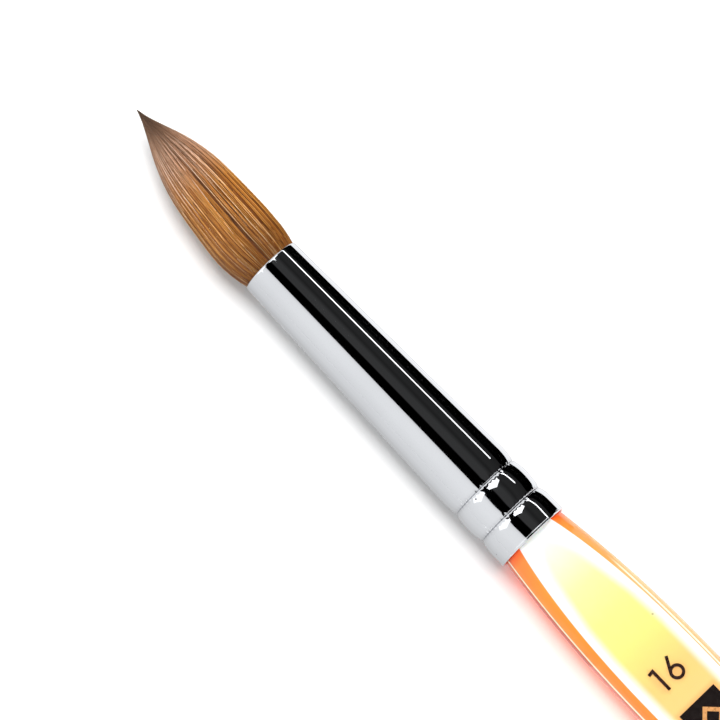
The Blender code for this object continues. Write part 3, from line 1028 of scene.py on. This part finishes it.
def make_lamp(name, direction, distance_m, length_m, width_m, watts):
    """A long soft light, lying along the brush and facing it."""
    back = direction.normalized()
    along = (Vector((1, 0, 0)) - back * back.x).normalized()
    matrix = Matrix((along, back.cross(along), back)).transposed().to_4x4()
    matrix.translation = STUDIO_MIDDLE + back * distance_m
    lamp = bpy.data.lights.new(name, "AREA")
    lamp.shape = "RECTANGLE"
    lamp.size = length_m
    lamp.size_y = width_m
    lamp.energy = watts
    obj = bpy.data.objects.new(name, lamp)
    obj.matrix_world = matrix
    obj.visible_glossy = False
    bpy.context.scene.collection.objects.link(obj)
    return obj


def make_floor():
    """White paper, wide enough to fill the view."""
    half_m = 2.0
    mesh = bpy.data.meshes.new("floor")
    corners = [(-half_m, -half_m, 0), (half_m, -half_m, 0), (half_m, half_m, 0), (-half_m, half_m, 0)]
    mesh.from_pydata(corners, [], [(0, 1, 2, 3)])
    finish = Finish("floor", Roughness=0.9, Specular_IOR_Level=0.1)
    paper = finish.noise(finish.place(), 400.0, 3.0)
    finish.set(Base_Color=finish.mix(paper, (0.88, 0.88, 0.88, 1.0), (0.90, 0.90, 0.90, 1.0)))
    mesh.materials.append(finish.material)
    obj = bpy.data.objects.new("floor", mesh)
    bpy.context.scene.collection.objects.link(obj)


WORLD_STRENGTH = 0.64


def make_world():
    """Even white light from all round, which the shiny parts don't mirror."""
    world = bpy.data.worlds.new("studio")
    bpy.context.scene.world = world
    world.use_nodes = True
    background = world.node_tree.nodes["Background"]
    background.inputs["Color"].default_value = (1.0, 1.0, 1.0, 1.0)
    background.inputs["Strength"].default_value = WORLD_STRENGTH
    world.cycles_visibility.glossy = False


# Strength of the arched cards by degrees past the view axis, towards -Y
LEFT_GLOW = ((-16.5, 0.9), (-22, 1.1), (-30, 1.155), (-50, 1.15), (-82, 1.045), (-95, 1.0))
DIM_GLOW = ((9, 0.0), (12, 0.05), (30, 0.05), (43, 0.02), (53, 0.03), (86, 0.02), (99, 0.01))
STRIP_GLOW = ((70.6, 3.4), (73.8, 3.4))

# Strength of the table cards by distance from the brush's axis, weaker near it as a painted shadow of the
# brush, seen in reflections
LEFT_TABLE_GLOW = ((5, 0.6), (6.7, 0.70), (11.8, 0.876), (20, 0.98), (60, 1.04), (350, 1.04))
RIGHT_TABLE_GLOW = ((4.5, 0.7), (6.5, 0.8), (9, 1.3), (60, 1.45), (350, 1.45))

ARCH_DISTANCE_M = 1.0
STRIP_DISTANCE_M = 0.95
STAR_DISTANCE_M = 0.9
STAR_X = 475.0  # far enough past the tip that the plain tube never mirrors the stars
STAR_SHAPE = (80.0, 200.0, 80.0)  # half lengths at the star's two sides and its middle
FLAG_ACROSS = 11.8
FLAG_RISE = (-3.6, 4.0)
FLAG_X = (22, 90)
KEY_TILT = 16
KEY_LEAN_X = 0.3  # how far the key lamp leans towards the tip
KEY_DISTANCE_M = 0.9
KEY_LENGTH_M = 0.8
KEY_WIDTH_M = 0.36
KEY_WATTS = 8.6


def star_card(name, from_degrees, to_degrees, strength):
    """A diamond of light beyond the tip, seen only by the slopes that face it."""
    columns = []
    middle_degrees = (from_degrees + to_degrees) / 2
    for degrees, half_length in zip((from_degrees, middle_degrees, to_degrees), STAR_SHAPE):
        place = STUDIO_MIDDLE + overhead(degrees) * STAR_DISTANCE_M
        near = ((STAR_X - half_length) * MM, place.y, place.z)
        far = ((STAR_X + half_length) * MM, place.y, place.z)
        columns.append((near, far, strength))
    return make_card(name, columns)


def make_flag():
    """A narrow black flag close beside the ferrule, which blackens its -Y side."""
    across = (Vector((0, -1, 0)) + TOWARDS * TOWARDS.y).normalized()
    near_x, far_x = FLAG_X
    columns = []
    for rise in FLAG_RISE:
        place = STUDIO_MIDDLE + across * FLAG_ACROSS * MM + TOWARDS * rise * MM
        near = Vector((near_x * MM, place.y, place.z))
        far = Vector((far_x * MM, place.y, place.z))
        columns.append((near, far, 0.0))
    return make_card("flag", columns)


def make_studio():
    """White paper under one long soft lamp, with cards placed for what the plated tube mirrors."""
    bpy.context.scene.view_settings.view_transform = "Standard"
    make_world()
    make_floor()
    key_direction = overhead(KEY_TILT) + Vector((KEY_LEAN_X, 0, 0))
    make_lamp("key", key_direction, KEY_DISTANCE_M, KEY_LENGTH_M, KEY_WIDTH_M, KEY_WATTS)
    arched_card("left_card", LEFT_GLOW, ARCH_DISTANCE_M, -1000, 1200)
    arched_card("dim_card", DIM_GLOW, ARCH_DISTANCE_M, -1000, 1200)
    arched_card("strip", STRIP_GLOW, STRIP_DISTANCE_M, 62, 1200)
    star_card("star_card", 4, 46, 2.2)
    star_card("left_star_card", -58, -12, 1.8)
    table_card("left_table_card", 1, LEFT_TABLE_GLOW, 8, 300)
    table_card("right_table_card", -1, RIGHT_TABLE_GLOW, RIM_X, 300)
    end_card("tip_card", x=350, half_width=400, top=300, strength=1.3)
    end_card("butt_card", x=-300, half_width=400, top=230, strength=1.2)
    make_flag()


def main():
    make_camera()
    make_studio()
    make_ferrule(plated_finish())
    make_handle(acrylic_finish())
    make_tuft()
    ink = ink_finish()
    dress("size_digit_1", ink)
    dress("size_digit_6", ink)
    dress("label_panel", panel_finish())
    dress("label_emblem", foil_finish())
    dress("binding_thread", thread_finish())
    dress("epoxy_plug", epoxy_finish())
    dress("hair_roots", roots_finish())


main()
